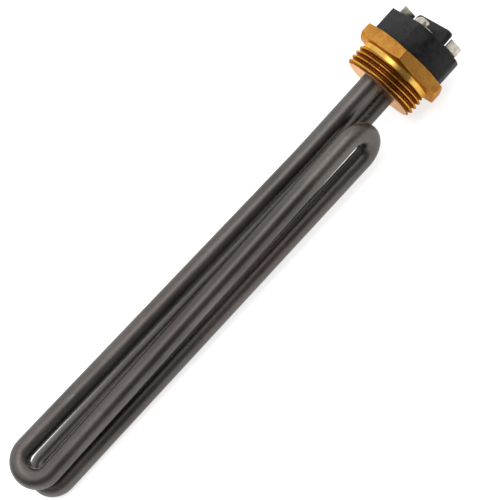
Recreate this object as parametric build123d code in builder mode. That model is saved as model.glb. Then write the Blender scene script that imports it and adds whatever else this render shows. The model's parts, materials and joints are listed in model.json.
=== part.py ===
"""Folded tubular immersion element on a screw plug, as used in a water tank.

The gasket face of the plug lies in the YZ plane and the plug's axis is X: the terminals
point to +X and the heating loop runs to -X. Two flats of the hexagon lie level, so that
the part rests on one of them, with +Z up. All sizes are in millimetres.
"""

import math
import os

from build123d import *

os.makedirs("parts", exist_ok=True)

# Screw plug: hexagon, smooth neck for the gasket, then a parallel one inch pipe thread,
# which is left as a plain cylinder at the diameter of its crests
hex_flats = 38.1
hex_height = 6.0
hex_chamfer_radius = 18.6
hex_chamfer_slope = 13
neck_radius = 15.6
neck_length = 2.2
thread_radius = 16.5
thread_length = 8.6
thread_lead_in = 1.3

# Sheathed tube, bent from one length and folded back on itself
sheath_radius = 4.25
sheath_wall = 0.7
leg_height = 6.35
sheath_end_x = 7.0
lean_start_x = -50.0
lean_radius = 400.0
upper_hairpin_out = (-216.6, 4.8, 7.1)
upper_hairpin_back = (-216.6, -9.7, 3.4)
fold_bend_upper = (-27.7, -11.5, 8.0)
fold_bend_lower = (-27.7, -11.5, -8.0)
lower_hairpin_out = (-215.6, -10.1, -7.0)
lower_hairpin_back = (-215.6, 3.9, -7.1)
bend_share = 0.49

# What the sheath holds: packed powder, the wire coil, and a solid pin into each end
fit_gap = 0.02
wire_radius = 1.5
cold_end_x = -40.0
fill_end_x = 2.5
seal_end_x = 5.6
bush_flange = 1.2

# Terminal block: a round body with two pairs of flats, turned a little from the hexagon
block_turn = 20.7
block_radius = 17.2
block_side_flat = 13.5
block_end_flat = 15.2
block_top_x = 17.5
block_edge = 0.35
barrier_thickness = 2.4
barrier_half_length = 12.2
barrier_top_x = 24.1
barrier_corner = 1.8
pocket_radius = 12.0
pocket_top_x = 13.4

# Terminals: a strip with an upturned end and a clinched collar nut on each side
strip_inner = 1.7
strip_width = 6.7
strip_thickness = 1.0
strip_tab_reach = 13.0
strip_tail_reach = 9.2
strip_bend = 1.4
tab_top_x = 22.2
tab_corner = 0.6
nut_radius = 3.35
nut_shoulder_x = 19.2
nut_waist = (2.85, 20.85)
nut_top_radius = 1.95
nut_top_x = 21.8
nut_spigot_radius = 2.9
screw_bore_radius = 1.7
screw_clearance_radius = 2.4
screw_hole_bottom_x = 14.2
pin_offset = 7.2
pin_jog_start_x = 9.4
pin_jog_end_x = 12.4
pin_jog_radius = 1.8
pin_top_x = 18.8

# Places worked out from the sizes above
thread_end_x = -(neck_length + thread_length)
fill_radius = sheath_radius - sheath_wall - fit_gap
hole_radius = sheath_radius + fit_gap
wire_hole_radius = wire_radius + fit_gap
braze_radius = sheath_radius + 0.9
braze_depth = 1.2
strip_middle = strip_inner + strip_width / 2
strip_top_x = block_top_x + strip_thickness
turn = math.radians(block_turn)
across_barrier = Vector(0, math.sin(turn), math.cos(turn))
along_barrier = Vector(0, -math.cos(turn), math.sin(turn))

# The two ends of the element: the upper one and the one below it, half a turn on
sides = {"upper": 1, "lower": -1}


def end_plane(x):
    """Plane across the plug's axis at x, with its first direction level."""
    return Plane(origin=(x, 0, 0), x_dir=(0, 1, 0), z_dir=(1, 0, 0))


def leg_plane(x, side):
    """Plane across one end of the sheath at x."""
    return Plane(origin=(x, 0, side * leg_height), x_dir=(0, 1, 0), z_dir=(1, 0, 0))


def block_plane(x):
    """Plane across the plug's axis at x, with its first direction along the barrier."""
    return Plane(origin=(x, 0, 0), x_dir=along_barrier, z_dir=(1, 0, 0))


def strip_plane(side):
    """Plane through the plug's axis, seen from the side on which that terminal lies."""
    return Plane(origin=(0, 0, 0), x_dir=along_barrier * side, z_dir=across_barrier * side)


def block_point(x, along, across):
    """Point given by its place along and across the barrier."""
    return Vector(x, 0, 0) + along_barrier * along + across_barrier * across


def loop_points(end_x):
    """Corners of the tube's centre line, from one end at end_x to the other."""
    return [
        (end_x, 0, leg_height),
        (lean_start_x, 0, leg_height),
        upper_hairpin_out,
        upper_hairpin_back,
        fold_bend_upper,
        fold_bend_lower,
        lower_hairpin_out,
        lower_hairpin_back,
        (lean_start_x, 0, -leg_height),
        (end_x, 0, -leg_height),
    ]


def loop_radii():
    """Bend radii at those corners: each hairpin and the fold take nearly their whole width."""
    radii = [lean_radius]
    for first, second in (
        (upper_hairpin_out, upper_hairpin_back),
        (fold_bend_upper, fold_bend_lower),
        (lower_hairpin_out, lower_hairpin_back),
    ):
        width = (Vector(*first) - Vector(*second)).length
        radii += [width * bend_share] * 2
    return radii + [lean_radius]


def pin_points(side):
    """Corners of a cold pin's centre line, from inside the tube up to its strip."""
    foot_z = side * leg_height
    head_low = block_point(pin_jog_end_x, side * pin_offset, side * strip_middle)
    head_top = block_point(pin_top_x, side * pin_offset, side * strip_middle)
    return [(cold_end_x, 0, foot_z), (pin_jog_start_x, 0, foot_z), head_low, head_top]


# Screw plug, turned and bored for the two ends of the tube
with BuildPart() as screw_plug:
    with BuildSketch(end_plane(0)):
        RegularPolygon(hex_flats / 2, 6, major_radius=False, rotation=0)
    extrude(amount=hex_height)
    hex_corner = hex_flats / 2 / math.cos(math.radians(30))
    chamfer_rise = (hex_corner - hex_chamfer_radius) * math.tan(math.radians(hex_chamfer_slope))
    with BuildSketch(Plane.XY):
        with BuildLine():
            Polyline(
                (0, 0),
                (0, hex_chamfer_radius),
                (chamfer_rise, hex_corner),
                (hex_height - chamfer_rise, hex_corner),
                (hex_height, hex_chamfer_radius),
                (hex_height, 0),
                close=True,
            )
        make_face()
    revolve(axis=Axis.X, mode=Mode.INTERSECT)
    with BuildSketch(Plane.XY):
        with BuildLine():
            Polyline(
                (0, 0),
                (0, neck_radius),
                (-neck_length, neck_radius),
                (-neck_length, thread_radius),
                (thread_end_x + thread_lead_in, thread_radius),
                (thread_end_x, thread_radius - thread_lead_in),
                (thread_end_x, 0),
                close=True,
            )
        make_face()
    revolve(axis=Axis.X)
    for side in sides.values():
        with BuildSketch(leg_plane(thread_end_x, side)):
            Circle(hole_radius)
        extrude(amount=hex_height - thread_end_x, mode=Mode.SUBTRACT)
        with BuildSketch(leg_plane(thread_end_x, side)):
            Circle(braze_radius)
        extrude(amount=braze_depth, mode=Mode.SUBTRACT)

# Tube, swept along straight runs joined by tangent bends
with BuildPart() as element_sheath:
    with BuildLine() as sheath_path:
        FilletPolyline(*loop_points(sheath_end_x), radius=loop_radii())
    with BuildSketch(leg_plane(sheath_end_x, 1)):
        Circle(sheath_radius)
        Circle(sheath_radius - sheath_wall, mode=Mode.SUBTRACT)
    sweep(path=sheath_path.line)

# Insulating powder, packed round the wire and the cold pins
with BuildPart() as magnesia_fill:
    with BuildLine() as fill_path:
        FilletPolyline(*loop_points(fill_end_x), radius=loop_radii())
    with BuildSketch(leg_plane(fill_end_x, 1)):
        Circle(fill_radius)
        Circle(wire_hole_radius, mode=Mode.SUBTRACT)
    sweep(path=fill_path.line)

# Heating coil, given as the round space that its fine turns take up
with BuildPart() as resistance_coil:
    with BuildLine() as coil_path:
        FilletPolyline(*loop_points(cold_end_x), radius=loop_radii())
    with BuildSketch(leg_plane(cold_end_x, 1)):
        Circle(wire_radius)
    sweep(path=coil_path.line)

# Terminal block: body with the pocket below, barrier on top, holes for pins and screws
with BuildPart() as terminal_block:
    with BuildSketch(block_plane(hex_height)):
        Circle(block_radius)
        Rectangle(2 * block_end_flat, 2 * block_side_flat, mode=Mode.INTERSECT)
    extrude(amount=block_top_x - hex_height)
    chamfer(edges().group_by(Axis.X)[-1], length=block_edge)
    with BuildSketch(strip_plane(1).offset(-barrier_thickness / 2)):
        with BuildLine():
            barrier_wall_top = barrier_top_x - barrier_corner
            barrier_flat_end = barrier_half_length - barrier_corner
            Polyline(
                (-barrier_half_length, barrier_wall_top),
                (-barrier_half_length, block_top_x - 1),
                (barrier_half_length, block_top_x - 1),
                (barrier_half_length, barrier_wall_top),
            )
            RadiusArc(
                (barrier_half_length, barrier_wall_top),
                (barrier_flat_end, barrier_top_x),
                -barrier_corner,
            )
            Line((barrier_flat_end, barrier_top_x), (-barrier_flat_end, barrier_top_x))
            RadiusArc(
                (-barrier_flat_end, barrier_top_x),
                (-barrier_half_length, barrier_wall_top),
                -barrier_corner,
            )
        make_face()
    extrude(amount=barrier_thickness)
    with BuildSketch(block_plane(hex_height)):
        Circle(pocket_radius)
    extrude(amount=pocket_top_x - hex_height, mode=Mode.SUBTRACT)
    with BuildSketch(block_plane(pocket_top_x)):
        with Locations((pin_offset, -strip_middle), (-pin_offset, strip_middle)):
            Circle(wire_hole_radius)
    extrude(amount=block_top_x - pocket_top_x, mode=Mode.SUBTRACT)
    with BuildSketch(block_plane(screw_hole_bottom_x)):
        with Locations((0, -strip_middle), (0, strip_middle)):
            Circle(screw_clearance_radius)
    extrude(amount=block_top_x - screw_hole_bottom_x, mode=Mode.SUBTRACT)

# Potting compound, which fills the pocket round the ends of the tube and the pins
with BuildPart() as potting:
    with BuildSketch(end_plane(hex_height + fit_gap)):
        Circle(pocket_radius - fit_gap)
    extrude(amount=pocket_top_x - hex_height - 2 * fit_gap)
    for side in sides.values():
        with BuildSketch(leg_plane(hex_height, side)):
            Circle(hole_radius)
        extrude(amount=sheath_end_x + bush_flange + fit_gap - hex_height, mode=Mode.SUBTRACT)
        with BuildLine() as pin_way:
            FilletPolyline(*pin_points(side), radius=[pin_jog_radius] * 2)
        with BuildSketch(leg_plane(cold_end_x, side)):
            Circle(wire_hole_radius)
        sweep(path=pin_way.line, mode=Mode.SUBTRACT)

solids = {
    "screw_plug": screw_plug,
    "element_sheath": element_sheath,
    "magnesia_fill": magnesia_fill,
    "resistance_coil": resistance_coil,
    "terminal_block": terminal_block,
    "potting": potting,
}

# Pieces that come in pairs, one for each end of the element
for side_name, side in sides.items():
    with BuildPart() as cold_pin:
        with BuildLine() as pin_path:
            FilletPolyline(*pin_points(side), radius=[pin_jog_radius] * 2)
        with BuildSketch(leg_plane(cold_end_x, side)):
            Circle(wire_radius)
        sweep(path=pin_path.line)
    solids["cold_pin_" + side_name] = cold_pin

    with BuildPart() as end_seal:
        with BuildSketch(leg_plane(fill_end_x, side)):
            Circle(fill_radius)
            Circle(wire_hole_radius, mode=Mode.SUBTRACT)
        extrude(amount=seal_end_x - fill_end_x)
    solids["end_seal_" + side_name] = end_seal

    with BuildPart() as end_bush:
        with BuildSketch(leg_plane(seal_end_x, side)):
            Circle(fill_radius)
        extrude(amount=sheath_end_x - seal_end_x)
        with BuildSketch(leg_plane(sheath_end_x, side)):
            Circle(sheath_radius)
        extrude(amount=bush_flange)
        with BuildSketch(leg_plane(seal_end_x, side)):
            Circle(wire_hole_radius)
        extrude(amount=sheath_end_x + bush_flange - seal_end_x, mode=Mode.SUBTRACT)
    solids["end_bush_" + side_name] = end_bush

    with BuildPart() as braze_ring:
        with BuildSketch(leg_plane(thread_end_x, side)):
            Circle(braze_radius - fit_gap)
            Circle(hole_radius, mode=Mode.SUBTRACT)
        extrude(amount=braze_depth - fit_gap)
    solids["braze_ring_" + side_name] = braze_ring

    with BuildPart() as terminal_strip:
        with BuildSketch(strip_plane(side).offset(strip_inner)):
            with BuildLine():
                Polyline(
                    (strip_tail_reach, block_top_x),
                    (-strip_tab_reach, block_top_x),
                    (-strip_tab_reach, tab_top_x),
                    (-strip_tab_reach + strip_thickness, tab_top_x),
                    (-strip_tab_reach + strip_thickness, strip_top_x),
                    (strip_tail_reach, strip_top_x),
                    close=True,
                )
            make_face()
            fillet(vertices().sort_by_distance((-strip_tab_reach, block_top_x))[0], strip_bend)
            inside_bend = (-strip_tab_reach + strip_thickness, strip_top_x)
            fillet(vertices().sort_by_distance(inside_bend)[0], strip_bend - strip_thickness)
        extrude(amount=strip_width)
        fillet(edges().filter_by(Axis((0, 0, 0), along_barrier)).group_by(Axis.X)[-1], tab_corner)
        with BuildSketch(block_plane(block_top_x)):
            with Locations((side * pin_offset, -side * strip_middle)):
                Circle(wire_hole_radius)
            with Locations((0, -side * strip_middle)):
                Circle(nut_spigot_radius + fit_gap)
        extrude(amount=strip_thickness, mode=Mode.SUBTRACT)
    solids["terminal_strip_" + side_name] = terminal_strip

    with BuildPart() as collar_nut:
        with BuildSketch(strip_plane(1).offset(side * strip_middle)):
            with BuildLine():
                ThreePointArc((nut_radius, nut_shoulder_x), nut_waist, (nut_top_radius, nut_top_x))
                Polyline(
                    (nut_top_radius, nut_top_x),
                    (screw_bore_radius, nut_top_x),
                    (screw_bore_radius, block_top_x),
                    (nut_spigot_radius, block_top_x),
                    (nut_spigot_radius, strip_top_x),
                    (nut_radius, strip_top_x),
                    (nut_radius, nut_shoulder_x),
                )
            make_face()
        revolve(axis=Axis(block_point(0, 0, side * strip_middle), (1, 0, 0)))
    solids["collar_nut_" + side_name] = collar_nut

for name, piece in solids.items():
    piece.part.label = name
    export_step(piece.part, "parts/" + name + ".step")

sheath_length = sum(edge.length for edge in sheath_path.edges())
sheath_section = math.pi * (sheath_radius**2 - (sheath_radius - sheath_wall) ** 2)
print("tube length", round(sheath_length, 1), "bend radii", [round(radius, 2) for radius in loop_radii()])
print("tube volume", round(element_sheath.part.volume), "for", round(sheath_section * sheath_length))
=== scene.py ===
"""Visual model of a folded immersion element on a brass screw plug.

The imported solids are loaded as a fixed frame. The pieces that show are built again here
with their thread, bends and rounded edges, and every piece gets its finish. A pale
studio with a camera at the photograph's angle stands round them. Lengths are in metres.
"""

import json
import logging
import math
from collections.abc import Callable, Sequence
from dataclasses import dataclass, field
from enum import Enum

import bpy
import numpy as np
from mathutils import Matrix, Vector


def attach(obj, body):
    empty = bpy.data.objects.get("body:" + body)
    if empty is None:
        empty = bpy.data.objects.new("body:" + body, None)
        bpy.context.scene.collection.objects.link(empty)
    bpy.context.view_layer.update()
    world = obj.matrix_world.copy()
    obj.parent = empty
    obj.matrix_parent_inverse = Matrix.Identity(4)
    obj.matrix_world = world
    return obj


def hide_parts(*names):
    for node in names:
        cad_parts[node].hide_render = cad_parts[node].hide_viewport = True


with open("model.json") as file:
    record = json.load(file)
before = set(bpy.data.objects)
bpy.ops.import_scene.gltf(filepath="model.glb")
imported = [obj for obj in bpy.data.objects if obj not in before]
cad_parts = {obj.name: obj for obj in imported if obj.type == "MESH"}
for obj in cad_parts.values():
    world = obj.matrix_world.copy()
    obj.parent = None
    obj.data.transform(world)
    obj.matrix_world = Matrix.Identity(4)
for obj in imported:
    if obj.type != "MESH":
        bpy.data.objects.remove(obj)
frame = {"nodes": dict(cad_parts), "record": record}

LOG = logging.getLogger("immersion_element")
MM = 0.001
BODY = "root"
WHITE = (1.0, 1.0, 1.0)

# How far a cutter stands out past what it cuts
PAST = 3 * MM

# Rounding of moulded and stamped edges: strips across it, and least angle in degrees
EDGE_STEPS = 3
EDGE_ANGLE = 30.0

Point = tuple[float, float, float]
Colour = tuple[float, float, float]
Outline = Sequence[tuple[float, float]]
Grid = Sequence[Sequence[Vector]]
Socket = bpy.types.NodeSocket
Value = Socket | float | Colour


class Slot(Enum):
    """Material slots of the record."""

    PLUG = "plug_brass"
    SHEATH = "sheath_alloy"
    MAGNESIA = "magnesia"
    COIL = "coil_wire"
    BLOCK = "block_plastic"
    POTTING = "potting_resin"
    PIN = "pin_steel"
    SEAL = "seal_rubber"
    BUSH = "bush_ceramic"
    BRAZE = "braze_metal"
    TERMINAL = "terminal_plate"


class Side(Enum):
    """The two ends of the element: the upper one, and the lower one half a turn on."""

    UPPER = 1
    LOWER = -1

    @property
    def word(self) -> str:
        """Name of the side, as the nodes have it."""
        return self.name.lower()


# Mesh helpers


@dataclass
class Shell:
    """Vertices and faces of one piece, gathered row by row.

    Args:
        name: name of the object that is made.
        vertices: places of its vertices so far.
        faces: vertex numbers of its faces so far.
    """

    name: str
    vertices: list[Vector] = field(default_factory=list)
    faces: list[tuple[int, ...]] = field(default_factory=list)

    def row(self, points: Sequence[Vector]) -> list[int]:
        """Adds points and returns their numbers.

        Args:
            points: places of the new vertices.

        Returns:
            The vertex numbers, in the same order.
        """
        start = len(self.vertices)
        self.vertices.extend(points)
        return list(range(start, start + len(points)))

    def bridge(self, first: list[int], second: list[int]) -> None:
        """Joins two closed rows of equal length with quads.

        Args:
            first: vertex numbers of the first row.
            second: vertex numbers of the second row.
        """
        count = len(first)
        for here in range(count):
            there = (here + 1) % count
            self.faces.append((first[here], first[there], second[there], second[here]))

    def cap(self, row: list[int], flip: bool = False) -> None:
        """Closes a row with one flat face.

        Args:
            row: vertex numbers of the row.
            flip: turns the face over.
        """
        self.faces.append(tuple(reversed(row)) if flip else tuple(row))

    def skin(self, grid: Grid) -> list[list[int]]:
        """Adds closed rows and joins each to the next.

        Args:
            grid: rows of points, each a closed ring.

        Returns:
            The vertex numbers of each row.
        """
        rows = [self.row(points) for points in grid]
        for first, second in zip(rows, rows[1:]):
            self.bridge(first, second)
        return rows

    def prism(self, low: Sequence[Vector], high: Sequence[Vector]) -> None:
        """Adds a closed body between two rings of points.

        Args:
            low: points of the first ring.
            high: points of the second ring.
        """
        rows = self.skin([low, high])
        self.cap(rows[0], flip=True)
        self.cap(rows[1])

    def build(self, sharp: float = 35.0) -> bpy.types.Object:
        """Makes the object, smooth but for its edges.

        Args:
            sharp: angle in degrees above which an edge stays sharp.

        Returns:
            The new object, linked to the scene.
        """
        mesh = bpy.data.meshes.new(self.name)
        mesh.from_pydata([tuple(v) for v in self.vertices], [], self.faces)
        mesh.validate()
        mesh.update()
        item = bpy.data.objects.new(self.name, mesh)
        bpy.context.scene.collection.objects.link(item)
        outward(item)
        shade(item, sharp)
        return item


def outward(item: bpy.types.Object) -> None:
    """Turns all faces of a closed mesh outward.

    Args:
        item: the object.
    """
    volume = 0.0
    mesh = item.data
    mesh.calc_loop_triangles()
    for triangle in mesh.loop_triangles:
        a, b, c = (mesh.vertices[i].co for i in triangle.vertices)
        volume += a.dot(b.cross(c))
    if volume < 0:
        mesh.flip_normals()


def shade(item: bpy.types.Object, sharp: float) -> None:
    """Shades a mesh smooth and marks its sharp edges.

    Args:
        item: the object.
        sharp: angle in degrees above which an edge stays sharp.
    """
    item.data.shade_smooth()
    item.data.set_sharp_from_angle(angle=math.radians(sharp))


def settle(item: bpy.types.Object) -> None:
    """Applies an object's modifiers to its mesh.

    Args:
        item: the object.
    """
    bpy.context.view_layer.update()
    graph = bpy.context.evaluated_depsgraph_get()
    mesh = bpy.data.meshes.new_from_object(item.evaluated_get(graph))
    item.modifiers.clear()
    old = item.data
    item.data = mesh
    mesh.name = item.name
    bpy.data.meshes.remove(old)


def combine(item: bpy.types.Object, tool: bpy.types.Object, operation: str) -> None:
    """Adds a tool body to a piece or cuts it away, and deletes the tool.

    Args:
        item: the piece that is changed.
        tool: the body that is added or cut away.
        operation: UNION or DIFFERENCE.
    """
    change = item.modifiers.new("combine", "BOOLEAN")
    change.operation = operation
    change.solver = "EXACT"
    change.object = tool
    settle(item)
    mesh = tool.data
    bpy.data.objects.remove(tool)
    bpy.data.meshes.remove(mesh)


def round_edges(item: bpy.types.Object, width: float) -> None:
    """Rounds the sharp edges of a piece.

    Args:
        item: the piece.
        width: width of the rounding.
    """
    bevel = item.modifiers.new("edges", "BEVEL")
    bevel.width = width
    bevel.segments = EDGE_STEPS
    bevel.limit_method = "ANGLE"
    bevel.angle_limit = math.radians(EDGE_ANGLE)
    bevel.miter_outer = "MITER_ARC"
    bevel.use_clamp_overlap = True
    settle(item)
    shade(item, EDGE_ANGLE)


def rod(
    name: str, centre: Sequence[float], radius: float, low: float, high: float
) -> bpy.types.Object:
    """Makes a round cutter along X.

    Args:
        name: name of the object.
        centre: its place in Y and Z.
        radius: its radius.
        low: lowest X.
        high: highest X.

    Returns:
        The cutter.
    """
    shell = Shell(name)
    angles = np.linspace(0, math.tau, 48, endpoint=False)
    ring = [
        Vector((0, centre[0] + radius * math.cos(a), centre[1] + radius * math.sin(a)))
        for a in angles
    ]
    shell.prism(*([point + Vector((x, 0, 0)) for point in ring] for x in (low, high)))
    return shell.build()


# Finishes


class Graph:
    """A material's node tree, with short ways to add to it.

    Args:
        name: name of the material.
    """

    def __init__(self, name: str) -> None:
        """Makes an empty material with a Principled shader."""
        self.material = bpy.data.materials.new(name)
        self.material.use_nodes = True
        self.nodes = self.material.node_tree.nodes
        self.links = self.material.node_tree.links
        self.nodes.clear()
        self.shader = self.nodes.new("ShaderNodeBsdfPrincipled")
        output = self.nodes.new("ShaderNodeOutputMaterial")
        self.links.new(self.shader.outputs["BSDF"], output.inputs["Surface"])

    def join(self, value: Value, socket: Socket) -> None:
        """Links a socket or sets a number.

        Args:
            value: an output socket, a number or a colour.
            socket: the input that takes it.
        """
        if isinstance(value, Socket):
            self.links.new(value, socket)
        elif isinstance(value, tuple) and len(value) == 3 and len(socket.default_value) == 4:
            socket.default_value = (*value, 1.0)
        else:
            socket.default_value = value

    def feed(self, **inputs: Value) -> None:
        """Sets inputs of the shader.

        Args:
            inputs: values by socket name, with underscores for spaces.
        """
        for key, value in inputs.items():
            self.join(value, self.shader.inputs[key.replace("_", " ")])

    def place(self) -> Socket:
        """Place on the object, in metres of the part's frame."""
        return self.nodes.new("ShaderNodeTexCoord").outputs["Object"]

    def stored(self, name: str) -> Socket:
        """Vector attribute stored on the mesh.

        Args:
            name: name of the attribute.

        Returns:
            The vector.
        """
        node = self.nodes.new("ShaderNodeAttribute")
        node.attribute_name = name
        return node.outputs["Vector"]

    def scaled(self, vector: Socket, scale: Point) -> Socket:
        """Vector with each part multiplied.

        Args:
            vector: the vector.
            scale: factor for each part.

        Returns:
            The scaled vector.
        """
        node = self.nodes.new("ShaderNodeVectorMath")
        node.operation = "MULTIPLY"
        self.join(vector, node.inputs[0])
        node.inputs[1].default_value = scale
        return node.outputs[0]

    def parts(self, vector: Socket) -> tuple[Socket, ...]:
        """X, Y and Z of a vector.

        Args:
            vector: the vector.

        Returns:
            Its three parts.
        """
        node = self.nodes.new("ShaderNodeSeparateXYZ")
        self.join(vector, node.inputs[0])
        return tuple(node.outputs)

    def noise(self, vector: Socket, scale: float, detail: float, rough: float = 0.55) -> Socket:
        """Noise between 0 and 1.

        Args:
            vector: where the noise is read.
            scale: cells to the metre.
            detail: number of finer layers.
            rough: weight of the finer layers.

        Returns:
            The noise value.
        """
        node = self.nodes.new("ShaderNodeTexNoise")
        self.join(vector, node.inputs["Vector"])
        node.inputs["Scale"].default_value = scale
        node.inputs["Detail"].default_value = detail
        node.inputs["Roughness"].default_value = rough
        return node.outputs["Fac"]

    def calc(self, operation: str, first: Value, second: Value) -> Socket:
        """Result of a Math node.

        Args:
            operation: the Math operation.
            first: first operand.
            second: second operand.

        Returns:
            The result.
        """
        node = self.nodes.new("ShaderNodeMath")
        node.operation = operation
        self.join(first, node.inputs[0])
        self.join(second, node.inputs[1])
        return node.outputs[0]

    def span(
        self, value: Value, low: float, high: float, to_low: float = 0.0, to_high: float = 1.0
    ) -> Socket:
        """Maps a range to another with a smooth, clamped step.

        Args:
            value: the value that is mapped.
            low: value that gives to_low.
            high: value that gives to_high.
            to_low: result at low.
            to_high: result at high.

        Returns:
            The mapped value.
        """
        node = self.nodes.new("ShaderNodeMapRange")
        node.interpolation_type = "SMOOTHSTEP"
        for socket, number in zip(node.inputs[1:5], (low, high, to_low, to_high)):
            socket.default_value = number
        self.join(value, node.inputs[0])
        return node.outputs[0]

    def blend(self, share: Value, first: Value, second: Value) -> Socket:
        """Colour between two colours.

        Args:
            share: share of the second.
            first: first colour.
            second: second colour.

        Returns:
            The colour.
        """
        node = self.nodes.new("ShaderNodeMix")
        node.data_type = "RGBA"
        self.join(share, node.inputs[0])
        self.join(first, node.inputs[6])
        self.join(second, node.inputs[7])
        return node.outputs[2]

    def relief(self, height: Value, depth: float, strength: float) -> None:
        """Adds a bump to the shader, on top of one that is there.

        Args:
            height: height between 0 and 1.
            depth: depth in metres that a height of 1 stands for.
            strength: share of the bump that is used.
        """
        node = self.nodes.new("ShaderNodeBump")
        node.inputs["Strength"].default_value = strength
        node.inputs["Distance"].default_value = depth
        self.join(height, node.inputs["Height"])
        normal = self.shader.inputs["Normal"]
        if normal.links:
            self.links.new(normal.links[0].from_socket, node.inputs["Normal"])
        self.links.new(node.outputs[0], normal)


@dataclass(frozen=True)
class SheathFinish:
    """Dark oxidised alloy: drawn lines along the tube, soft heat tints and a few rubbed marks.

    Args:
        dark: darker tone of the oxide.
        light: lighter tone of the oxide.
        tint: reddish heat tint.
        rubbed: metal that shows through in the marks.
    """

    dark: Colour = (0.085, 0.077, 0.073)
    light: Colour = (0.165, 0.148, 0.138)
    tint: Colour = (0.135, 0.100, 0.094)
    rubbed: Colour = (0.30, 0.28, 0.26)

    def make(self) -> bpy.types.Material:
        """Builds the material.

        Returns:
            The material.
        """
        g = Graph("oxidised_sheath")
        tube = g.stored("tube_place")
        lines = g.noise(g.scaled(tube, (1, 1, 0.02)), 900, 5, 0.6)
        clouds = g.noise(g.scaled(tube, (1, 1, 0.35)), 60, 4, 0.6)
        patches = g.noise(g.scaled(tube, (1, 1, 0.25)), 28, 3, 0.5)
        colour = g.blend(g.span(clouds, 0.32, 0.68), self.dark, self.light)
        colour = g.blend(g.calc("MULTIPLY", g.span(patches, 0.5, 0.72), 0.55), colour, self.tint)
        colour = g.blend(g.calc("MULTIPLY", g.span(lines, 0.45, 0.75), 0.25), colour, self.light)
        grain = g.noise(g.scaled(tube, (1, 1, 0.5)), 1500, 4, 0.7)
        colour = g.blend(g.calc("MULTIPLY", g.span(grain, 0.42, 0.62), 0.4), colour, self.dark)
        scuffs = g.noise(g.scaled(tube, (1, 1, 0.3)), 420, 6, 0.7)
        where = g.span(g.noise(tube, 45, 2), 0.56, 0.68)
        marks = g.calc("MULTIPLY", g.span(scuffs, 0.62, 0.70), where)
        colour = g.blend(g.calc("MULTIPLY", marks, 0.7), colour, self.rubbed)
        rough = g.calc("ADD", g.span(clouds, 0.3, 0.7, 0.33, 0.43), g.calc("MULTIPLY", lines, 0.08))
        rough = g.calc("ADD", rough, g.calc("MULTIPLY", marks, 0.12))
        g.feed(Base_Color=colour, Metallic=1.0, Roughness=rough)
        g.relief(lines, 0.03 * MM, 0.5)
        g.relief(g.noise(tube, 700, 3), 0.02 * MM, 0.4)
        return g.material


@dataclass(frozen=True)
class BrassFinish:
    """Turned brass: mottled on the hexagon, bright on the neck, with brown painted shade in the
    thread's roots.

    Args:
        gold: plain tone.
        bright: tone of freshly turned metal.
        mottle: darker tone of the tarnish.
        brown: dark brown of the specks of grime, and of the painted shade in the thread's roots.
        pale: tone of the inner end face.
        edge_tint: tint of the gloss at a flat angle.
        hexagon_edge: X over which the neck's look turns into the hexagon's.
        thread_edge: X over which the neck's look turns into the thread's.
        end_edge: X over which the thread's look turns into the end face's.
        root_shade_radii: radii over which the painted shade in the roots starts, outside the end
            face.
        root: radius at which the painted shade in the thread's roots is full.
        crest: radius from which its crests have no painted shade.
    """

    gold: Colour = (0.53, 0.26, 0.05)
    bright: Colour = (0.70, 0.44, 0.10)
    mottle: Colour = (0.42, 0.17, 0.035)
    brown: Colour = (0.15, 0.052, 0.015)
    pale: Colour = (0.80, 0.60, 0.44)
    edge_tint: Colour = (0.80, 0.55, 0.36)
    hexagon_edge: tuple[float, float] = (-0.15 * MM, 0.05 * MM)
    thread_edge: tuple[float, float] = (-2.1 * MM, -2.5 * MM)
    end_edge: tuple[float, float] = (-10.7 * MM, -10.78 * MM)
    root_shade_radii: tuple[float, float] = (14.0 * MM, 14.8 * MM)
    root: float = 15.6 * MM
    crest: float = 16.35 * MM

    def make(self) -> bpy.types.Material:
        """Builds the material.

        Returns:
            The material.
        """
        g = Graph("turned_brass")
        place = g.place()
        x, y, z = g.parts(place)
        flat = g.nodes.new("ShaderNodeCombineXYZ")
        g.links.new(y, flat.inputs[0])
        g.links.new(z, flat.inputs[1])
        length = g.nodes.new("ShaderNodeVectorMath")
        length.operation = "LENGTH"
        g.links.new(flat.outputs[0], length.inputs[0])
        radius = length.outputs["Value"]
        spots = g.noise(place, 330, 5, 0.62)
        fine = g.noise(place, 1500, 4, 0.65)
        specks = g.noise(place, 2600, 3, 0.6)
        colour = g.blend(g.span(spots, 0.36, 0.66), self.gold, self.mottle)
        colour = g.blend(g.calc("MULTIPLY", g.span(fine, 0.5, 0.75), 0.45), colour, self.bright)
        colour = g.blend(g.calc("MULTIPLY", g.span(specks, 0.60, 0.72), 0.45), colour, self.brown)
        on_hexagon = g.span(x, *self.hexagon_edge)
        turned = g.blend(g.calc("MULTIPLY", g.span(spots, 0.45, 0.7), 0.35), self.bright, self.gold)
        colour = g.blend(on_hexagon, turned, colour)
        in_thread = g.span(x, *self.thread_edge)
        worn = g.blend(g.span(specks, 0.45, 0.65), self.gold, self.bright)
        colour = g.blend(in_thread, colour, worn)
        # Painted shade: the thread turns brown towards its roots, by radius, but not on the end
        # face
        deep = g.calc("MULTIPLY", g.span(radius, self.crest, self.root), in_thread)
        deep = g.calc("MULTIPLY", deep, g.span(radius, *self.root_shade_radii))
        root_shade_tone = g.blend(g.span(specks, 0.42, 0.62), self.brown, self.mottle)
        colour = g.blend(deep, colour, root_shade_tone)
        on_end = g.span(x, *self.end_edge)
        colour = g.blend(g.calc("MULTIPLY", on_end, 0.8), colour, self.pale)
        rings = g.noise(g.scaled(place, (1, 0.01, 0.01)), 9000, 2, 0.5)
        rough = g.span(spots, 0.35, 0.7, 0.24, 0.38)
        rough = g.calc("ADD", rough, g.calc("MULTIPLY", on_hexagon, 0.08))
        rough = g.calc("ADD", rough, g.calc("MULTIPLY", deep, 0.15))
        g.feed(Base_Color=colour, Metallic=1.0, Roughness=rough, Specular_Tint=self.edge_tint)
        g.relief(g.calc("MULTIPLY", fine, on_hexagon), 0.05 * MM, 0.5)
        g.relief(rings, 0.012 * MM, 0.4)
        return g.material


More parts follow.
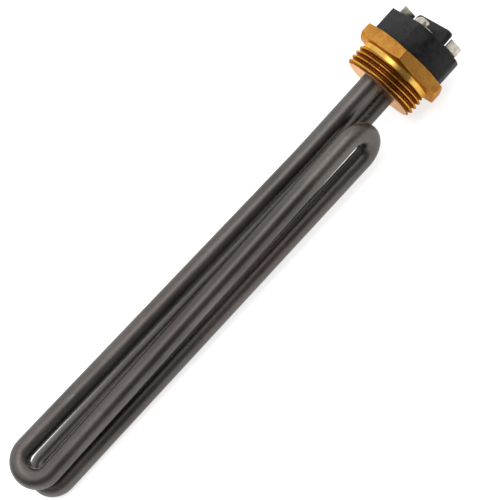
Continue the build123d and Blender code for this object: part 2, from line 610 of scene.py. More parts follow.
@dataclass(frozen=True)
class BlockFinish:
    """Black thermoset moulding with a fine grain, faint flow marks and dusty patches.

    Args:
        black: darker tone.
        grey: lighter tone.
        dust: tone of the dusty patches.
        gloss: strength of the reflections.
    """

    black: Colour = (0.003, 0.003, 0.0035)
    grey: Colour = (0.021, 0.021, 0.022)
    dust: Colour = (0.07, 0.068, 0.064)
    gloss: float = 0.18

    def make(self) -> bpy.types.Material:
        """Builds the material.

        Returns:
            The material.
        """
        g = Graph("moulded_block")
        place = g.place()
        flow = g.noise(g.scaled(place, (1, 0.5, 1)), 230, 5, 0.65)
        grain = g.noise(place, 2600, 3, 0.6)
        patch = g.noise(place, 700, 4, 0.65)
        colour = g.blend(g.span(flow, 0.36, 0.68), self.black, self.grey)
        colour = g.blend(g.calc("MULTIPLY", g.span(patch, 0.55, 0.72), 0.4), colour, self.dust)
        rough = g.span(flow, 0.3, 0.7, 0.42, 0.58)
        g.feed(Base_Color=colour, Roughness=rough, Specular_IOR_Level=self.gloss)
        g.relief(grain, 0.03 * MM, 0.5)
        g.relief(flow, 0.12 * MM, 0.35)
        return g.material


@dataclass(frozen=True)
class TinFinish:
    """Dull tin plating, warm grey, with fine handling marks.

    Args:
        pale: lighter tone.
        dull: darker tone, also of the marks.
    """

    pale: Colour = (0.56, 0.525, 0.46)
    dull: Colour = (0.36, 0.33, 0.28)

    def make(self) -> bpy.types.Material:
        """Builds the material.

        Returns:
            The material.
        """
        g = Graph("tin_plate")
        place = g.place()
        cloud = g.noise(place, 420, 4, 0.6)
        marks = g.noise(g.scaled(place, (1, 0.15, 0.5)), 3200, 4, 0.7)
        colour = g.blend(g.span(cloud, 0.35, 0.7), self.pale, self.dull)
        colour = g.blend(g.calc("MULTIPLY", g.span(marks, 0.55, 0.7), 0.4), colour, self.dull)
        g.feed(Base_Color=colour, Metallic=1.0, Roughness=g.span(marks, 0.3, 0.7, 0.28, 0.46))
        g.relief(marks, 0.02 * MM, 0.5)
        return g.material


@dataclass(frozen=True)
class GrainedFinish:
    """Simple two-tone finish for the pieces inside.

    Args:
        name: name of the material.
        first: one tone.
        second: the other tone.
        metallic: 1 for metal.
        rough: lowest and highest roughness.
        scale: cells of the tones to the metre.
        depth: depth of the grain.
    """

    name: str
    first: Colour
    second: Colour
    metallic: float
    rough: tuple[float, float]
    scale: float
    depth: float

    def make(self) -> bpy.types.Material:
        """Builds the material.

        Returns:
            The material.
        """
        g = Graph(self.name)
        place = g.place()
        tone = g.noise(place, self.scale, 5, 0.6)
        grain = g.noise(place, self.scale * 6, 4, 0.65)
        colour = g.blend(g.span(tone, 0.35, 0.65), self.first, self.second)
        rough = g.span(grain, 0.3, 0.7, *self.rough)
        g.feed(Base_Color=colour, Metallic=self.metallic, Roughness=rough)
        g.relief(grain, self.depth, 0.6)
        return g.material


# Pieces


def dress(
    item: bpy.types.Object, material: bpy.types.Material, slot: Slot, *stands_for: str
) -> None:
    """Gives a new piece its finish and body, and hides the nodes that it stands for.

    Args:
        item: the piece.
        material: its finish.
        slot: not used.
        stands_for: the nodes that it replaces.
    """
    item.data.materials.clear()
    item.data.materials.append(material)
    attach(item, BODY)
    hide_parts(*stands_for)
    LOG.info("%s: %d faces", item.name, len(item.data.polygons))


@dataclass
class Sheath:
    """The bent tube: straight runs joined by round bends.

    Args:
        radius: outer radius.
        wall: thickness of the wall.
        corners: corners of the centre line, in millimetres.
        lean_radius: radius of the slight bends beside the plug.
        bend_share: radius of a hairpin as a share of its width.
        run_step: length of a strip on a straight run.
        turn_step: turn of a strip in a bend, in degrees.
        around: vertices round the tube.
    """

    radius: float = 4.25 * MM
    wall: float = 0.7 * MM
    corners: tuple[Point, ...] = (
        (7.0, 0, 6.35),
        (-50.0, 0, 6.35),
        (-216.6, 4.8, 7.1),
        (-216.6, -9.7, 3.4),
        (-27.7, -11.5, 8.0),
        (-27.7, -11.5, -8.0),
        (-215.6, -10.1, -7.0),
        (-215.6, 3.9, -7.1),
        (-50.0, 0, -6.35),
        (7.0, 0, -6.35),
    )
    lean_radius: float = 400 * MM
    bend_share: float = 0.49
    run_step: float = 5 * MM
    turn_step: float = 3.75
    around: int = 56

    def bend_radii(self) -> list[float]:
        """Radius at each inner corner.

        Returns:
            The radii, from the upper end of the tube to its lower end.
        """
        places = [Vector(c) * MM for c in self.corners]
        widths = [(places[i] - places[i + 1]).length for i in (2, 4, 6)]
        bends = [width * self.bend_share for width in widths for _ in range(2)]
        return [self.lean_radius, *bends, self.lean_radius]

    def centre_line(self) -> list[Vector]:
        """Points along the middle of the tube, close together in the bends.

        Returns:
            The points, from the upper end of the tube to its lower end.
        """
        places = [Vector(c) * MM for c in self.corners]
        line = [places[0]]
        radii = self.bend_radii()
        for before, corner, after, radius in zip(places, places[1:], places[2:], radii):
            way_in = (corner - before).normalized()
            way_out = (after - corner).normalized()
            turn = way_in.angle(way_out)
            reach = radius * math.tan(turn / 2)
            start = corner - way_in * reach
            self.extend_run(line, start)
            middle = corner + (way_out - way_in).normalized() * (radius / math.cos(turn / 2))
            spoke = start - middle
            axis = way_in.cross(way_out)
            steps = max(4, round(math.degrees(turn) / self.turn_step))
            for step in range(1, steps + 1):
                line.append(middle + Matrix.Rotation(turn * step / steps, 3, axis) @ spoke)
        self.extend_run(line, places[-1])
        return line

    def extend_run(self, line: list[Vector], end: Vector) -> None:
        """Adds evenly spaced points up to the end of a straight run.

        Args:
            line: the points so far.
            end: the end of the run.
        """
        start = line[-1].copy()
        steps = max(1, round((end - start).length / self.run_step))
        line.extend(start.lerp(end, step / steps) for step in range(1, steps + 1))

    def build(self, material: bpy.types.Material) -> None:
        """Makes the tube as a closed wall, with the straightened place stored on it.

        Args:
            material: the sheath's finish.
        """
        line = self.centre_line()
        ways = [(b - a).normalized() for a, b in zip(line, line[1:])]
        between = [(a + b).normalized() for a, b in zip(ways, ways[1:])]
        tangents = [ways[0], *between, ways[-1]]
        up = Vector((0, 0, 1))
        ups = []
        for tangent in tangents:
            up = (up - tangent * up.dot(tangent)).normalized()
            ups.append(up)
        shell = Shell("tube_sheath")
        angles = np.linspace(0, math.tau, self.around, endpoint=False)
        stored: list[Point] = []
        rows = []
        for radius in (self.radius, self.radius - self.wall):
            ring = [(radius * math.cos(a), radius * math.sin(a)) for a in angles]
            along = 0.0
            layer = []
            for index, (place, tangent, up) in enumerate(zip(line, tangents, ups)):
                side = tangent.cross(up)
                if index:
                    along += (place - line[index - 1]).length
                layer.append(shell.row([place + up * u + side * v for u, v in ring]))
                stored.extend((u, v, along) for u, v in ring)
            rows.append(layer)
        for layer in rows:
            for first, second in zip(layer, layer[1:]):
                shell.bridge(*((first, second) if layer is rows[0] else (second, first)))
        shell.bridge(rows[1][0], rows[0][0])
        shell.bridge(rows[0][-1], rows[1][-1])
        item = shell.build(60)
        attribute = item.data.attributes.new("tube_place", "FLOAT_VECTOR", "POINT")
        attribute.data.foreach_set("vector", np.array(stored, np.float32).ravel())
        dress(item, material, Slot.SHEATH, "element_sheath")


@dataclass
class Plug:
    """Brass plug: chamfered hexagon, neck and helical thread.

    Args:
        flats: half the width across the hexagon's flats.
        top: top face of the hexagon.
        chamfer: radius at which the turned chamfers start.
        slope: rise of the chamfers for each unit of radius.
        neck: radius of the neck.
        neck_end: where the thread starts.
        crest: radius of the thread's crests.
        root: radius of its roots.
        pitch: its pitch.
        crest_x: place of a crest at the angle crest_angle.
        crest_angle: that angle from +Y towards +Z, in degrees.
        flat: width of the crests and roots, as a share of half the pitch.
        fullness: how far the flanks bend out, as a share of the thread's depth.
        run_in: length over which the thread rises from the neck.
        end: inner end face.
        lead: length of the chamfer there.
        lead_slope: rise of that chamfer for each unit of length.
        hole: radius of the holes for the tube.
        braze: radius of the seats for the braze.
        braze_depth: their depth.
        hole_height: distance of the holes from the axis.
        edge: width of the rounding of its edges.
        corner_power: sharpness of the hexagon's corners.
        face_ring: distance of the rows on the top face from the neck's radius.
        end_ring: the same for the row on the end face.
        relief_x: place of the row halfway down the neck.
        row_step: distance of the rows on the thread.
    """

    flats: float = 19.05 * MM
    top: float = 6.0 * MM
    chamfer: float = 18.6 * MM
    slope: float = math.tan(math.radians(13))
    neck: float = 15.6 * MM
    neck_end: float = -2.2 * MM
    crest: float = 16.5 * MM
    root: float = 15.0 * MM
    pitch: float = 2.209 * MM
    crest_x: float = -4.72 * MM
    crest_angle: float = 124.3
    flat: float = 0.08
    fullness: float = 0.06
    run_in: float = 0.4 * MM
    end: float = -10.8 * MM
    lead: float = 1.3 * MM
    lead_slope: float = 0.92
    hole: float = 4.28 * MM
    braze: float = 5.15 * MM
    braze_depth: float = 1.2 * MM
    hole_height: float = 6.35 * MM
    edge: float = 0.14 * MM
    corner_power: float = 170.0
    face_ring: float = 2 * MM
    end_ring: float = 3 * MM
    relief_x: float = -1.2 * MM
    row_step: float = 0.085 * MM

    def angles(self) -> list[float]:
        """Angles of the columns, close together at the hexagon's corners.

        Returns:
            The angles in radians, for the whole turn.
        """
        near = [0.0, 0.3, 0.6, 1.0, 1.6, 2.6]
        inside = list(np.arange(4.0, 30.0, 2.0))
        half = near + inside
        sector = half + [30.0] + [60.0 - a for a in reversed(half[1:])]
        return [math.radians(60 * corner + a) for corner in range(6) for a in sector]

    def hexagon(self, angle: float) -> float:
        """Distance of the hexagon's side from the axis, with slightly rounded corners.

        Args:
            angle: angle from +Y towards +Z.

        Returns:
            The distance.
        """
        total = 0.0
        for side in range(6):
            cosine = math.cos(angle - math.radians(60 * side + 30))
            if cosine > 0:
                total += cosine**self.corner_power
        return self.flats / total ** (1 / self.corner_power)

    def thread(self, x: float, angle: float) -> float:
        """Radius of the thread at a place: narrow crests and roots on a right-handed helix.

        Args:
            x: the place along the axis.
            angle: angle from +Y towards +Z.

        Returns:
            The radius, held back by the end's chamfer and by the run in at the neck.
        """
        around = (angle - math.radians(self.crest_angle)) / math.tau
        turn = ((self.crest_x - x) / self.pitch + around) % 1.0
        offset = abs(turn - 0.5) * 2
        rise = min(1.0, max(0.0, (offset - self.flat) / (1 - 2 * self.flat)))
        rise = rise - self.fullness * math.sin(math.tau * rise)
        body = self.root + (self.crest - self.root) * rise
        lead = min(1.0, (x - self.end) / self.lead)
        limit = self.crest - (1 - lead) * self.lead * self.lead_slope
        start = min(1.0, max(0.0, (self.neck_end - x) / self.run_in))
        limit = min(limit, self.neck + (self.crest - self.neck) * start + 0.02 * MM)
        floor = self.neck + (self.root - self.neck) * min(1.0, start * 1.4)
        return max(min(body, limit), min(floor, limit))

    def rows(self) -> list[tuple[Callable[[float], float], Callable[[float], float]]]:
        """Place along X and radius of each row, from the top face to the end face.

        Returns:
            For each row, the place and the radius as functions of the angle.
        """

        def face(angle: float) -> float:
            """Radius of the flat part of the hexagon's faces."""
            return min(self.hexagon(angle), self.chamfer)

        def drop(angle: float) -> float:
            """Distance of the chamfer's edge from the face."""
            return max(0.0, self.hexagon(angle) - self.chamfer) * self.slope

        def level(x: float) -> Callable[[float], float]:
            """Place that is the same at every angle."""
            return lambda _angle: x

        # The rows beside an edge round it, in shares of its width
        e = self.edge
        found = [
            (level(self.top), lambda a: self.neck - self.face_ring),
            (level(self.top), lambda a: self.neck + self.face_ring),
            (level(self.top), lambda a: face(a) - e),
            (level(self.top - 0.25 * e), lambda a: face(a) - 0.1 * e),
            (lambda a: self.top - drop(a) - 0.35 * e, lambda a: self.hexagon(a) - 0.3 * e),
            (lambda a: self.top - drop(a) - 1.2 * e, lambda a: self.hexagon(a)),
            (lambda a: drop(a) + 1.2 * e, lambda a: self.hexagon(a)),
            (lambda a: drop(a) + 0.35 * e, lambda a: self.hexagon(a) - 0.3 * e),
            (level(0.25 * e), lambda a: face(a) - 0.1 * e),
            (level(0.0), lambda a: face(a) - e),
            (level(0.0), lambda a: self.neck + 3 * e),
            (level(-0.9 * e), lambda a: self.neck + 0.9 * e),
            (level(-3 * e), lambda a: self.neck),
            (level(self.relief_x), lambda a: self.neck),
            (level(self.neck_end + 2 * e), lambda a: self.neck),
        ]
        for x in np.arange(self.neck_end, self.end + 0.4 * self.row_step, -self.row_step):
            found.append((level(float(x)), lambda a, x=float(x): self.thread(x, a)))
        found.append((level(self.end), lambda a: self.thread(self.end, a) - 0.3 * e))
        found.append((level(self.end), lambda a: self.neck - self.end_ring))
        return found

    def build(self, material: bpy.types.Material) -> None:
        """Makes the plug and bores it for the tube and the braze.

        Args:
            material: the plug's finish.
        """
        shell = Shell("brass_plug")
        angles = self.angles()
        grid = [
            [Vector((x(a), radius(a) * math.cos(a), radius(a) * math.sin(a))) for a in angles]
            for x, radius in self.rows()
        ]
        rows = shell.skin(grid)
        shell.cap(rows[0], flip=True)
        shell.cap(rows[-1])
        item = shell.build(40)
        for side in Side:
            centre = (0.0, side.value * self.hole_height)
            holes = (self.hole, self.top + PAST), (self.braze, self.end + self.braze_depth)
            for radius, high in holes:
                combine(item, rod("bore", centre, radius, self.end - PAST, high), "DIFFERENCE")
        shade(item, 32)
        dress(item, material, Slot.PLUG, "screw_plug")


@dataclass
class TerminalHead:
    """Terminal block with its barrier, strips and tapped collars.

    Args:
        turn: turn of the block from the hexagon's flats, in degrees.
        radius: radius of the block between its flats.
        side_flat: distance of the flats beside the barrier from the axis.
        end_flat: distance of the flats at the barrier's ends from the axis.
        low: underside of the block.
        top: its top face, on which the strips lie.
        barrier_half: half the length of the barrier.
        barrier_thickness: its thickness.
        barrier_top: its top edge.
        barrier_corner: radius of its top corners.
        barrier_root: how deep it reaches into the block.
        pocket: radius of the pocket under the block.
        pocket_top: its roof.
        block_edge: width of the rounding of the block's edges.
        strip_inner: distance of a strip's inner edge from the barrier's middle.
        strip_width: width of a strip.
        strip_thickness: its thickness.
        strip_bend: outer radius of its bend.
        strip_edge: width of the rounding of its edges.
        tab_reach: distance of the upturned end from the plug's axis.
        tail_reach: distance of the other end from it.
        tab_top: top of the upturned end.
        nut_radius: radius of a collar.
        nut_shoulder: where its dome starts.
        nut_waist: radius and place of a point halfway up the dome.
        nut_top_radius: radius where the dome ends.
        nut_top: top of a collar.
        nut_edge: width of a collar's chamfers.
        nut_step: distance of the rows in its bore.
        spigot: radius of its foot.
        spigot_hole: radius of the hole in a strip for the foot.
        bore: radius of its tapped bore.
        tap_pitch: pitch of the thread in the bore.
        tap_depth: depth of that thread.
        screw_way: radius of the hole in the block below a collar.
        screw_bottom: bottom of that hole.
        pin_offset: distance of a pin from its collar, along the barrier.
        pin_hole: radius of the holes for the pins.
    """

    turn: float = 20.7
    radius: float = 17.2 * MM
    side_flat: float = 13.5 * MM
    end_flat: float = 15.2 * MM
    low: float = 6.0 * MM
    top: float = 17.5 * MM
    barrier_half: float = 12.2 * MM
    barrier_thickness: float = 2.4 * MM
    barrier_top: float = 24.1 * MM
    barrier_corner: float = 1.8 * MM
    barrier_root: float = 2 * MM
    pocket: float = 12.0 * MM
    pocket_top: float = 13.4 * MM
    block_edge: float = 0.3 * MM
    strip_inner: float = 1.7 * MM
    strip_width: float = 6.7 * MM
    strip_thickness: float = 1.0 * MM
    strip_bend: float = 1.4 * MM
    strip_edge: float = 0.14 * MM
    tab_reach: float = 13.0 * MM
    tail_reach: float = 9.2 * MM
    tab_top: float = 22.2 * MM
    nut_radius: float = 3.35 * MM
    nut_shoulder: float = 19.2 * MM
    nut_waist: tuple[float, float] = (2.85 * MM, 20.85 * MM)
    nut_top_radius: float = 1.95 * MM
    nut_top: float = 21.8 * MM
    nut_edge: float = 0.1 * MM
    nut_step: float = 0.09 * MM
    spigot: float = 2.9 * MM
    spigot_hole: float = 2.92 * MM
    bore: float = 1.7 * MM
    tap_pitch: float = 0.8 * MM
    tap_depth: float = 0.32 * MM
    screw_way: float = 2.4 * MM
    screw_bottom: float = 14.2 * MM
    pin_offset: float = 7.2 * MM
    pin_hole: float = 1.52 * MM

    @property
    def along(self) -> Vector:
        """Direction along the barrier."""
        return Vector((0, -math.cos(math.radians(self.turn)), math.sin(math.radians(self.turn))))

    @property
    def across(self) -> Vector:
        """Direction across the barrier."""
        return Vector((0, math.sin(math.radians(self.turn)), math.cos(math.radians(self.turn))))

    @property
    def strip_middle(self) -> float:
        """Distance of a strip's middle from the barrier's."""
        return self.strip_inner + self.strip_width / 2

    def spot(self, x: float, along: float, across: float) -> Vector:
        """Point given along and across the barrier."""
        return Vector((x, 0, 0)) + self.along * along + self.across * across

    def slab(self, name: str, outline: Outline, low: float, high: float) -> bpy.types.Object:
        """Makes a body from an outline in the plane of the barrier.

        Args:
            name: name of the object.
            outline: points along the barrier and in X.
            low: lowest place across the barrier.
            high: highest place across it.

        Returns:
            The body.
        """
        shell = Shell(name)
        sides = ([self.spot(x, along, across) for along, x in outline] for across in (low, high))
        shell.prism(*sides)
        return shell.build()

    def drill(
        self, item: bpy.types.Object, side: Side, along: float, radius: float, low: float
    ) -> None:
        """Drills a hole for a terminal, from a place up to above the strips.

        Args:
            item: the piece that is drilled.
            side: the terminal.
            along: distance of the hole from the terminal's collar, along the barrier.
            radius: radius of the hole.
            low: where the hole starts.
        """
        centre = self.spot(0, side.value * along, side.value * self.strip_middle)
        combine(item, rod("way", centre.yz, radius, low, self.top + PAST), "DIFFERENCE")

    def body_outline(self) -> Outline:
        """Outline of the block: four arcs between four flats.

        Returns:
            Points along and across the barrier.
        """
        first = math.acos(self.end_flat / self.radius)
        last = math.asin(self.side_flat / self.radius)
        quarter = [
            (self.radius * math.cos(a), self.radius * math.sin(a))
            for a in np.linspace(first, last, 9)
        ]
        mirrored = [(-a, c) for a, c in reversed(quarter)]
        upper = quarter + mirrored
        return upper + [(-a, -c) for a, c in upper]

    def barrier_outline(self) -> Outline:
        """Side view of the barrier, with its rounded top corners.

        Returns:
            Points along the barrier and in X.
        """
        corner = self.barrier_corner
        inner, level = self.barrier_half - corner, self.barrier_top - corner
        arc = np.linspace(0, math.pi / 2, 9)
        right = [(inner + corner * math.cos(a), level + corner * math.sin(a)) for a in arc]
        left = [(-a, x) for a, x in reversed(right)]
        foot = self.top - self.barrier_root
        return [(self.barrier_half, foot), *right, *left, (-self.barrier_half, foot)]

    def build_block(self, material: bpy.types.Material) -> None:
        """Makes the moulded block.

        Args:
            material: the block's finish.
        """
        shell = Shell("black_block")
        outline = self.body_outline()
        shell.prism(*([self.spot(x, *place) for place in outline] for x in (self.low, self.top)))
        item = shell.build()
        half = self.barrier_thickness / 2
        combine(item, self.slab("barrier", self.barrier_outline(), -half, half), "UNION")
        pocket = rod("pocket", (0, 0), self.pocket, self.low - PAST, self.pocket_top)
        combine(item, pocket, "DIFFERENCE")
        for side in Side:
            self.drill(item, side, 0, self.screw_way, self.screw_bottom)
            self.drill(item, side, self.pin_offset, self.pin_hole, self.pocket_top - PAST)
        round_edges(item, self.block_edge)
        dress(item, material, Slot.BLOCK, "terminal_block")

    def strip_outline(self, side: Side) -> Outline:
        """Side view of a bent strip, with its inner and outer bend.

        Args:
            side: which one.

        Returns:
            Points along the barrier and in X.
        """
        reach, thick, bend = self.tab_reach, self.strip_thickness, self.strip_bend
        middle, level, small = bend - reach, self.top + bend, bend - thick
        arc = np.linspace(0, math.pi / 2, 7)
        outer = [(middle - bend * math.cos(a), level - bend * math.sin(a)) for a in arc]
        inner = [(middle - small * math.sin(a), level - small * math.cos(a)) for a in arc]
        points = [
            (-reach, self.tab_top),
            *outer,
            (self.tail_reach, self.top),
            (self.tail_reach, self.top + thick),
            *inner,
            (-reach + thick, self.tab_top),
        ]
        return [(along * side.value, x) for along, x in points]

    def build_strip(self, side: Side, material: bpy.types.Material) -> None:
        """Makes one terminal strip.

        Args:
            side: which one.
            material: its finish.
        """
        sign = side.value
        low, high = sorted((sign * self.strip_inner, sign * (self.strip_inner + self.strip_width)))
        item = self.slab("strip_" + side.word, self.strip_outline(side), low, high)
        self.drill(item, side, 0, self.spigot_hole, self.top - PAST)
        self.drill(item, side, self.pin_offset, self.pin_hole, self.top - PAST)
        round_edges(item, self.strip_edge)
        dress(item, material, Slot.TERMINAL, "terminal_strip_" + side.word)

    def dome(self) -> Outline:
        """Arc through a collar's shoulder, waist and top.

        Returns:
            Place in X and radius of the points on it.
        """
        first = Vector((self.nut_radius, self.nut_shoulder))
        second = Vector(self.nut_waist)
        third = Vector((self.nut_top_radius, self.nut_top))
        ahead, beyond = second - first, third - first
        double = 2 * (ahead.x * beyond.y - ahead.y * beyond.x)
        squares = ahead.length_squared, beyond.length_squared
        middle = first + Vector(
            (
                (beyond.y * squares[0] - ahead.y * squares[1]) / double,
                (ahead.x * squares[1] - beyond.x * squares[0]) / double,
            )
        )
        start = math.atan2(first.y - middle.y, first.x - middle.x)
        end = math.atan2(third.y - middle.y, third.x - middle.x)
        reach = (first - middle).length
        return [
            (middle.y + reach * math.sin(a), middle.x + reach * math.cos(a))
            for a in np.linspace(start, end, 10)
        ]

    def nut_rows(self) -> list[tuple[float, float, bool]]:
        """Rows of a collar, from its foot up the outside and down the bore.

        Returns:
            For each row its place in X, its radius and whether it is threaded.
        """
        foot = self.top + self.strip_thickness
        edge = self.nut_edge
        rows = [
            (self.top, self.spigot, False),
            (foot, self.spigot, False),
            (foot, self.nut_radius - edge, False),
            (foot + edge, self.nut_radius, False),
        ]
        rows.extend((x, radius, False) for x, radius in self.dome())
        rows.append((self.nut_top, self.bore + edge, False))
        for x in np.arange(self.nut_top - 1.5 * edge, self.top, -self.nut_step):
            rows.append((float(x), self.bore, True))
        rows.append((self.top, self.bore + 0.5 * edge, False))
        return rows

    def build_nut(self, side: Side, material: bpy.types.Material) -> None:
        """Makes one tapped collar, with a fine thread in its bore.

        Args:
            side: which one.
            material: its finish.
        """
        centre = self.spot(0, 0, side.value * self.strip_middle)
        angles = np.linspace(0, math.tau, 64, endpoint=False)
        grid = []
        for x, radius, threaded in self.nut_rows():
            points = []
            for a in angles:
                turn = (x / self.tap_pitch - a / math.tau) % 1.0
                here = radius + (self.tap_depth * (1 - abs(2 * turn - 1)) if threaded else 0.0)
                points.append(centre + Vector((x, here * math.cos(a), here * math.sin(a))))
            grid.append(points)
        shell = Shell("collar_" + side.word)
        rows = shell.skin(grid)
        shell.bridge(rows[-1], rows[0])
        item = shell.build(40)
        dress(item, material, Slot.TERMINAL, "collar_nut_" + side.word)


# Studio


@dataclass
class Studio:
    """Pale floor, soft light and a camera at the photograph's angle.

    Args:
        frame_px: width and height of the photograph.
        focal_px: focal length in its pixels.
        scale_px: its pixels to the metre at the plug.
        origin_px: where it shows the centre of the gasket face.
        axis_angle: direction of the plug's axis in it, in degrees above the right.
        elevation: height of the camera above the level of the axis, in degrees.
        tilt: lean of the view towards the far end of the loop, in degrees.
        sensor: width of the camera's sensor in millimetres.
        hexagon_low: height of the hexagon's lower edge.
        hairpin: place in X and height of the underside of the lower hairpin.
        floor_reach: distance of the floor's edges from the middle.
        floor_tones: the two greys of the floor.
        floor_glow: light that the floor adds where it is seen, so that it is white.
        lamp_place: place of the soft lamp.
        lamp_target: the point that it shines on, in the middle of the element.
        lamp_size: its width and height.
        lamp_power: its power in watts.
        tent_way: direction of the white cloth that stands behind the element.
        tent_edge: cosines from that direction over which the cloth ends.
        tent: strength of its light.
        dim: strength of the light from all other directions.
    """

    frame_px: float = 500.0
    focal_px: float = 2000.0
    scale_px: float = 2520.0
    origin_px: tuple[float, float] = (395.86, 68.9)
    axis_angle: float = 47.8
    elevation: float = 55.7
    tilt: float = 1.0
    sensor: float = 36.0
    hexagon_low: float = -19.05 * MM
    hairpin: tuple[float, float] = (-212.0 * MM, -11.35 * MM)
    floor_reach: float = 4.0
    floor_tones: tuple[float, float] = (0.72, 0.69)
    floor_glow: float = 0.72
    lamp_place: Point = (0.05, -0.22, 1.6)
    lamp_target: Point = (-0.1, 0, 0)
    lamp_size: tuple[float, float] = (0.7, 0.7)
    lamp_power: float = 4.6
    tent_way: Point = (0.25, 0.62, 0.744)
    tent_edge: tuple[float, float] = (0.28, 0.42)
    tent: float = 1.15
    dim: float = 0.2

    def directions(self) -> tuple[Vector, Vector, Vector]:
        """Directions of the camera.

        Returns:
            Its right, its up and the way back from what it looks at.
        """
        height = math.radians(self.elevation)
        lean = math.radians(self.tilt)
        angle = math.radians(self.axis_angle)
        axis = Vector((1, 0, 0))
        outward_way = Vector((0, -math.cos(height), math.sin(height)))
        aside = Vector((0, -math.sin(height), -math.cos(height)))
        back = outward_way * math.cos(lean) - axis * math.sin(lean)
        along = axis * math.cos(lean) + outward_way * math.sin(lean)
        right = along * math.cos(angle) + aside * math.sin(angle)
        up = along * math.sin(angle) - aside * math.cos(angle)
        return right, up, back

    def build_camera(self) -> None:
        """Adds the camera."""
        right, up, back = self.directions()
        distance = self.focal_px / self.scale_px
        middle = self.frame_px / 2
        aside = (self.origin_px[0] - middle) / self.focal_px * distance
        above = (middle - self.origin_px[1]) / self.focal_px * distance
        place = back * distance - right * aside - up * above
        data = bpy.data.cameras.new("camera")
        data.sensor_width = self.sensor
        data.lens = self.sensor * self.focal_px / self.frame_px
        data.clip_start = 0.01
        data.clip_end = 20.0
        camera = bpy.data.objects.new("camera", data)
        camera.matrix_world = Matrix(
            [(right[i], up[i], back[i], place[i]) for i in range(3)] + [(0, 0, 0, 1)]
        )
        bpy.context.scene.collection.objects.link(camera)
        bpy.context.scene.camera = camera

    def build_floor(self) -> None:
        """Adds the floor, which touches the hexagon's lower edge and the lower hairpin."""
        slope = (self.hairpin[1] - self.hexagon_low) / self.hairpin[0]
        reach = self.floor_reach
        shell = Shell("floor")
        corners = [(-reach, -reach), (reach, -reach), (reach, reach), (-reach, reach)]
        shell.cap(shell.row([Vector((x, y, self.hexagon_low + slope * x)) for x, y in corners]))
        item = shell.build()
        g = Graph("pale_floor")
        grain = g.noise(g.place(), 40, 3)
        colour = g.blend(grain, *((tone, tone, tone) for tone in self.floor_tones))
        rays = g.nodes.new("ShaderNodeLightPath").outputs
        seen = g.calc("MAXIMUM", rays["Is Camera Ray"], rays["Is Glossy Ray"])
        seen = g.calc("MAXIMUM", seen, rays["Is Transmission Ray"])
        glow = g.calc("MULTIPLY", seen, self.floor_glow)
        g.feed(Base_Color=colour, Roughness=0.85, Emission_Color=WHITE, Emission_Strength=glow)
        item.data.materials.append(g.material)

    def build_lamp(self) -> None:
        """Adds the soft lamp."""
        data = bpy.data.lights.new("key", "AREA")
        data.shape = "RECTANGLE"
        data.size, data.size_y = self.lamp_size
        data.energy = self.lamp_power
        lamp = bpy.data.objects.new("key", data)
        lamp.location = self.lamp_place
        lamp.rotation_mode = "QUATERNION"
        way = Vector(self.lamp_target) - lamp.location
        lamp.rotation_quaternion = way.to_track_quat("-Z", "Y")
        bpy.context.scene.collection.objects.link(lamp)

    def build_surroundings(self) -> None:
        """Adds the light from all round, strong from the white cloth and weak elsewhere."""
        world = bpy.data.worlds.new("surroundings")
        bpy.context.scene.world = world
        world.use_nodes = True
        nodes, links = world.node_tree.nodes, world.node_tree.links
        way = nodes.new("ShaderNodeTexCoord")
        share = nodes.new("ShaderNodeVectorMath")
        share.operation = "DOT_PRODUCT"
        share.inputs[1].default_value = self.tent_way
        links.new(way.outputs["Generated"], share.inputs[0])
        step = nodes.new("ShaderNodeMapRange")
        step.interpolation_type = "SMOOTHSTEP"
        for socket, number in zip(step.inputs[1:5], (*self.tent_edge, self.dim, self.tent)):
            socket.default_value = number
        links.new(share.outputs["Value"], step.inputs[0])
        links.new(step.outputs[0], nodes["Background"].inputs["Strength"])
        nodes["Background"].inputs["Color"].default_value = (*WHITE, 1.0)

    def build(self) -> None:
        """Adds everything round the part."""
        self.build_camera()
        self.build_floor()
        self.build_lamp()
        self.build_surroundings()
        bpy.context.scene.view_settings.view_transform = "Standard"


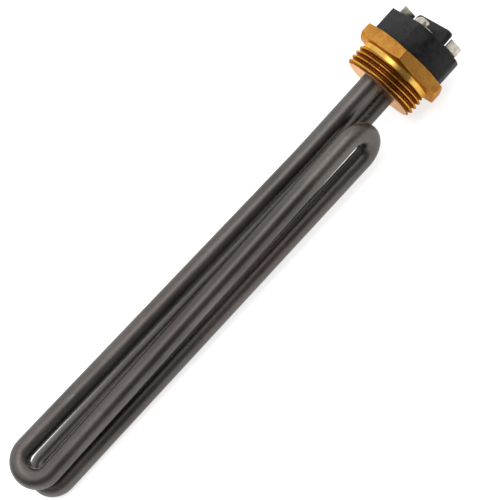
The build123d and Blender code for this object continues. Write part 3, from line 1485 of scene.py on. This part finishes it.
def dress_inner_pieces() -> None:
    """Gives the nodes that keep their own shape their finishes."""
    finishes = {
        Slot.MAGNESIA: GrainedFinish(
            "pressed_powder", (0.86, 0.85, 0.82), (0.74, 0.73, 0.7), 0, (0.8, 0.95), 900, 0.05 * MM
        ),
        Slot.COIL: GrainedFinish(
            "coil_wire", (0.42, 0.40, 0.38), (0.28, 0.26, 0.25), 1, (0.3, 0.5), 1500, 0.04 * MM
        ),
        Slot.POTTING: GrainedFinish(
            "cast_resin", (0.26, 0.15, 0.09), (0.18, 0.10, 0.06), 0, (0.3, 0.5), 500, 0.05 * MM
        ),
        Slot.PIN: GrainedFinish(
            "drawn_steel", (0.56, 0.55, 0.53), (0.40, 0.39, 0.37), 1, (0.25, 0.42), 1400, 0.02 * MM
        ),
        Slot.SEAL: GrainedFinish(
            "seal_rubber", (0.42, 0.16, 0.11), (0.32, 0.11, 0.08), 0, (0.55, 0.75), 900, 0.04 * MM
        ),
        Slot.BUSH: GrainedFinish(
            "fired_ceramic", (0.83, 0.80, 0.74), (0.72, 0.68, 0.6), 0, (0.45, 0.65), 1100, 0.03 * MM
        ),
        Slot.BRAZE: GrainedFinish(
            "braze_metal", (0.70, 0.54, 0.26), (0.46, 0.31, 0.14), 1, (0.3, 0.5), 1300, 0.05 * MM
        ),
    }
    made = {slot.value: finish.make() for slot, finish in finishes.items()}
    slots = {part["node"]: part["material_slot"] for part in frame["record"]["subparts"]}
    for name, item in sorted(frame["nodes"].items()):
        if slots[name] in made:
            item.data.materials.clear()
            item.data.materials.append(made[slots[name]])
            LOG.info("%s: finish %s", name, slots[name])


def main() -> None:
    """Builds the studio and the pieces in order."""
    logging.basicConfig(level=logging.INFO, format="%(message)s")
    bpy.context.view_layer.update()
    Studio().build()
    Sheath().build(SheathFinish().make())
    Plug().build(BrassFinish().make())
    head = TerminalHead()
    head.build_block(BlockFinish().make())
    tin = TinFinish().make()
    for side in Side:
        head.build_strip(side, tin)
        head.build_nut(side, tin)
    dress_inner_pieces()


if __name__ == "__main__":
    main()
